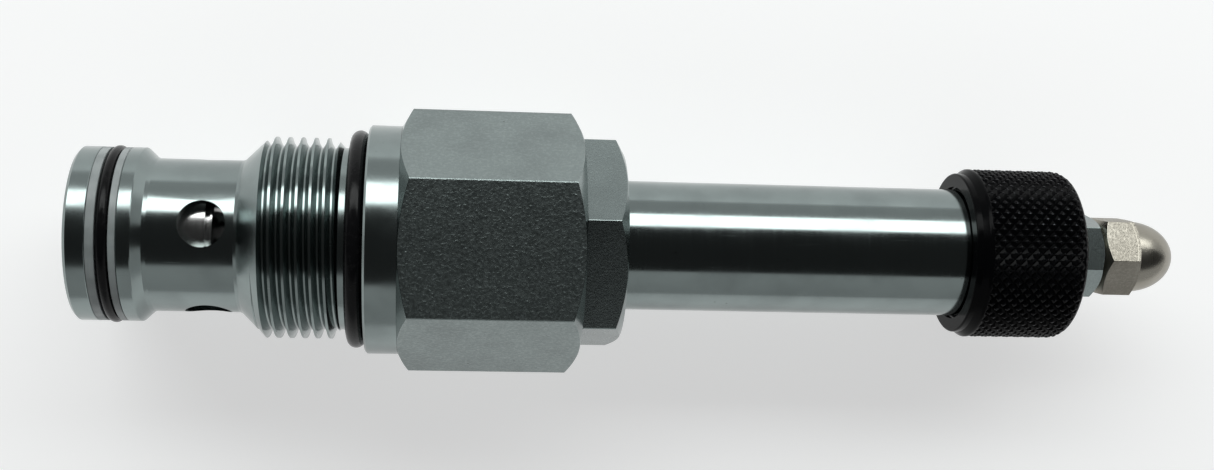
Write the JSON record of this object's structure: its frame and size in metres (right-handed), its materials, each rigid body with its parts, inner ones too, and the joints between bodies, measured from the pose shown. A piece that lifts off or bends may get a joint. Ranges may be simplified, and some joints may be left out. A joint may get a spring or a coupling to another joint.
{
  "type": "solenoid cartridge valve",
  "caption": "Screw-in hydraulic cartridge valve: ported nose with poppet, cavity thread, hex body, solenoid guide tube, knurled coil nut and screw override under an acorn cap nut.",
  "frame": {"origin": "on the valve's axis at the collar's seating face, the datum of its cavity", "axes": "+X along the valve's axis from the nose to the cap nut, +Z normal to one flat of the big hex"},
  "size_m": [0.1855, 0.0438, 0.0382],
  "materials": {
    "zinc_plated_steel": "bluish zinc plating, satin",
    "black_rubber": "glossy moulded",
    "backup_plastic": "pale, slightly translucent",
    "hardened_steel": "ground",
    "spring_steel": "drawn wire",
    "brass": "turned",
    "tube_steel": "polished, zinc plated",
    "core_steel": "turned soft iron",
    "black_anodised": "black anodised, diamond knurl",
    "nickel_plated_brass": "warm nickel plating",
    "glide_plastic": "bronze-filled"
  },
  "bodies": {
    "cartridge": {"cartridge_body": "zinc_plated_steel", "nose_oring": "black_rubber", "nose_backup_ring_front": "backup_plastic", "nose_backup_ring_rear": "backup_plastic", "cavity_oring": "black_rubber", "pilot_seat": "hardened_steel", "pilot_seat_oring": "black_rubber", "tube_base": "zinc_plated_steel", "tube_base_oring": "black_rubber", "guide_tube": "tube_steel", "pole_piece": "core_steel", "anti_stick_washer": "brass", "end_plug": "tube_steel"},
    "poppet": {"main_poppet": "hardened_steel", "poppet_glide_ring": "glide_plastic", "poppet_spring": "spring_steel"},
    "plunger": {"armature": "core_steel", "push_pin": "hardened_steel", "armature_spring": "spring_steel"},
    "override_seal": {"override_oring": "black_rubber"},
    "override": {"override_screw": "hardened_steel"},
    "coil_nut_seal": {"coil_nut_oring": "black_rubber"},
    "coil_nut": {"coil_nut": "black_anodised"},
    "jam_seal": {"jam_nut_seal": "backup_plastic"},
    "jam_nut": {"jam_nut": "zinc_plated_steel"},
    "cap_seal": {"cap_nut_seal": "backup_plastic"},
    "cap_nut": {"cap_nut": "nickel_plated_brass"}
  },
  "joints": [
    {"name": "poppet_lift", "type": "slide", "parent": "cartridge", "child": "poppet", "axis": [1, 0, 0], "range_m": [0, 0.004], "stiffness_N_per_m": 900, "springref_m": -0.006, "deforming": ["poppet_spring"]},
    {"name": "plunger_stroke", "type": "slide", "parent": "cartridge", "child": "plunger", "axis": [1, 0, 0], "range_m": [-0.0025, 0], "stiffness_N_per_m": 1200, "springref_m": 0.005, "deforming": ["armature_spring"]},
    {"name": "override_travel", "type": "slide", "parent": "cartridge", "child": "override_seal", "axis": [1, 0, 0], "range_m": [-0.00212, 0]},
    {"name": "override_turn", "type": "hinge", "parent": "override_seal", "child": "override", "pos_m": [0.12, 0, 0], "axis": [1, 0, 0], "range_deg": [-720, 0]},
    {"name": "coil_nut_travel", "type": "slide", "parent": "cartridge", "child": "coil_nut_seal", "axis": [1, 0, 0], "range_m": [0, 0.0127]},
    {"name": "coil_nut_turn", "type": "hinge", "parent": "coil_nut_seal", "child": "coil_nut", "pos_m": [0.108, 0, 0], "axis": [1, 0, 0], "range_deg": [0, 2880]},
    {"name": "jam_nut_travel", "type": "slide", "parent": "cartridge", "child": "jam_seal", "axis": [1, 0, 0], "range_m": [0, 0.00212]},
    {"name": "jam_nut_turn", "type": "hinge", "parent": "jam_seal", "child": "jam_nut", "pos_m": [0.122, 0, 0], "axis": [1, 0, 0], "range_deg": [0, 720]},
    {"name": "cap_nut_travel", "type": "slide", "parent": "jam_nut", "child": "cap_seal", "axis": [1, 0, 0], "range_m": [0, 0.00741]},
    {"name": "cap_nut_turn", "type": "hinge", "parent": "cap_seal", "child": "cap_nut", "pos_m": [0.13, 0, 0], "axis": [1, 0, 0], "range_deg": [0, 2520]}
  ],
  "couplings": [
    {"joint": "override_turn", "follows": "override_travel", "rad_per_m": 5936.9},
    {"joint": "coil_nut_turn", "follows": "coil_nut_travel", "rad_per_m": 3957.9},
    {"joint": "jam_nut_turn", "follows": "jam_nut_travel", "rad_per_m": 5936.9},
    {"joint": "cap_nut_turn", "follows": "cap_nut_travel", "rad_per_m": 5936.9}
  ]
}
